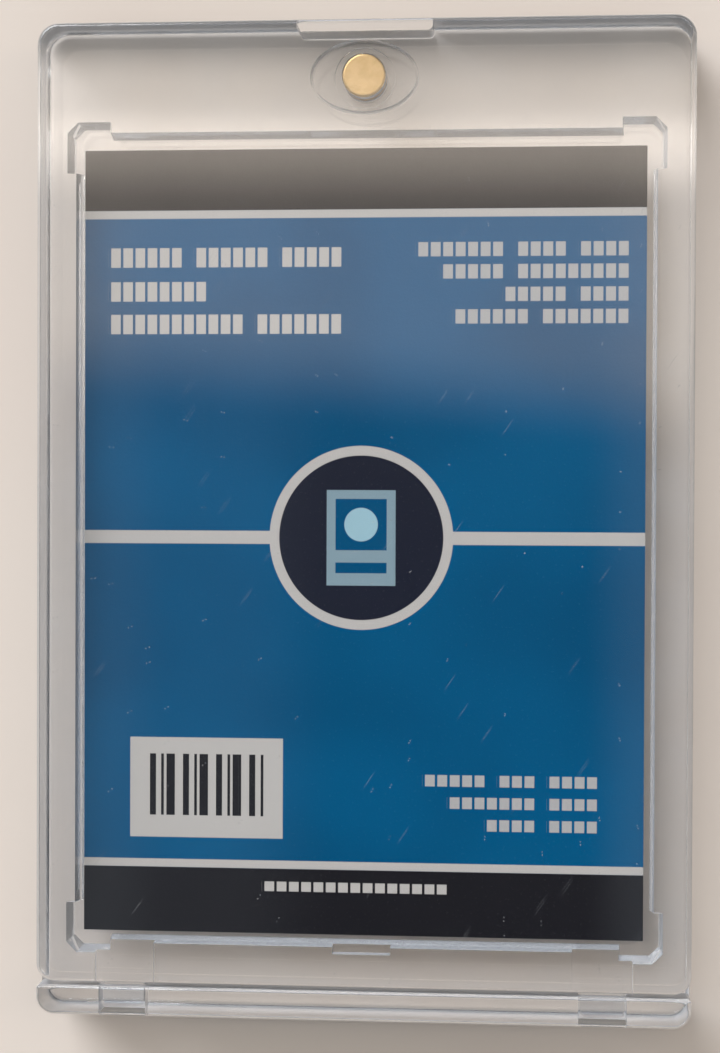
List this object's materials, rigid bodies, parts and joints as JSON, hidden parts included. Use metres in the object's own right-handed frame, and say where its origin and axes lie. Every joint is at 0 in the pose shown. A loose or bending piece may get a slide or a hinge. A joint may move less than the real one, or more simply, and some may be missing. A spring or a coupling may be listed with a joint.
{
  "type": "magnetic card holder",
  "caption": "Clear flat case for a collectible card: a recessed rear tray and a hooked front lid closed by facing disc magnets, with a printed insert inside.",
  "frame": {"origin": "middle of the flat back face, which the holder lies on", "axes": "+X across the holder, +Y up the card from the foot towards the magnets, +Z out of the front face"},
  "size_m": [0.073, 0.111, 0.0095],
  "materials": {
    "clear_plastic": "clear, polished",
    "gold_plating": "satin",
    "printed_card": "satin print"
  },
  "bodies": {
    "base": {"rear_shell": "clear_plastic", "rear_magnet": "gold_plating", "card_insert": "printed_card"},
    "lid": {"front_shell": "clear_plastic", "front_magnet": "gold_plating"}
  },
  "joints": [
    {"name": "lid_swing", "type": "hinge", "parent": "base", "child": "lid", "pos_m": [0, -0.0518, 0.0095], "axis": [1, 0, 0], "range_deg": [0, 50]}
  ]
}
